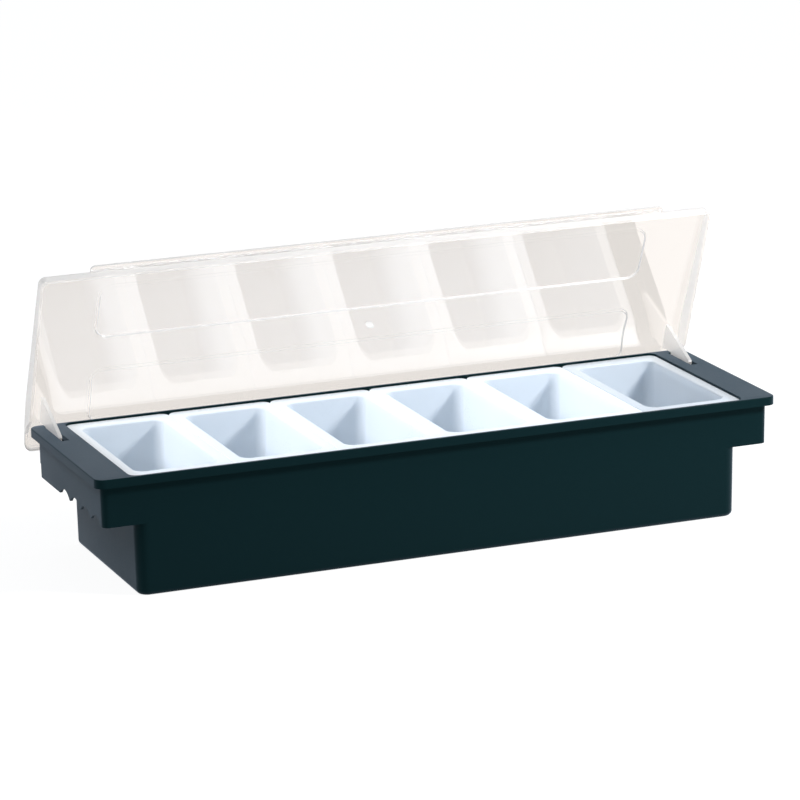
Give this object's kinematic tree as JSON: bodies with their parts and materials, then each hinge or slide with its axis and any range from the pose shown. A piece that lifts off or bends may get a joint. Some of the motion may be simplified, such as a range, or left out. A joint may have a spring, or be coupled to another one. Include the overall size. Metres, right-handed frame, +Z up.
{
  "type": "condiment caddy",
  "caption": "Countertop condiment caddy: dark tub on hollow end wings, lift-out white pans in a row, and a clear lid hinged at the rear that flips open.",
  "frame": {"origin": "centre of the tub's flat underside", "axes": "+X along the tub, +Y towards the hinge at the rear, +Z up"},
  "size_m": [0.4958, 0.1608, 0.2018],
  "materials": {
    "tub": "fine satin moulded plastic, near black with a green-blue cast",
    "pan": "smooth white plastic, slightly translucent",
    "lid": "clear polished plastic"
  },
  "bodies": {
    "tub": {"base_tub": "tub"},
    "lid": {"lid": "lid"},
    "pan_1": {"pan_1": "pan"},
    "pan_2": {"pan_2": "pan"},
    "pan_3": {"pan_3": "pan"},
    "pan_4": {"pan_4": "pan"},
    "pan_5": {"pan_5": "pan"},
    "pan_6": {"pan_6": "pan"}
  },
  "joints": [
    {"name": "lid_hinge", "type": "hinge", "parent": "tub", "child": "lid", "pos_m": [0, 0.05902, 0.0663], "axis": [-1, 0, 0], "range_deg": [-68.7, 0]},
    {"name": "pan_1_lift", "type": "slide", "parent": "tub", "child": "pan_1", "axis": [0, 0, 1], "range_m": [0, 0.025]},
    {"name": "pan_2_lift", "type": "slide", "parent": "tub", "child": "pan_2", "axis": [0, 0, 1], "range_m": [0, 0.025]},
    {"name": "pan_3_lift", "type": "slide", "parent": "tub", "child": "pan_3", "axis": [0, 0, 1], "range_m": [0, 0.025]},
    {"name": "pan_4_lift", "type": "slide", "parent": "tub", "child": "pan_4", "axis": [0, 0, 1], "range_m": [0, 0.025]},
    {"name": "pan_5_lift", "type": "slide", "parent": "tub", "child": "pan_5", "axis": [0, 0, 1], "range_m": [0, 0.025]},
    {"name": "pan_6_lift", "type": "slide", "parent": "tub", "child": "pan_6", "axis": [0, 0, 1], "range_m": [0, 0.025]}
  ]
}
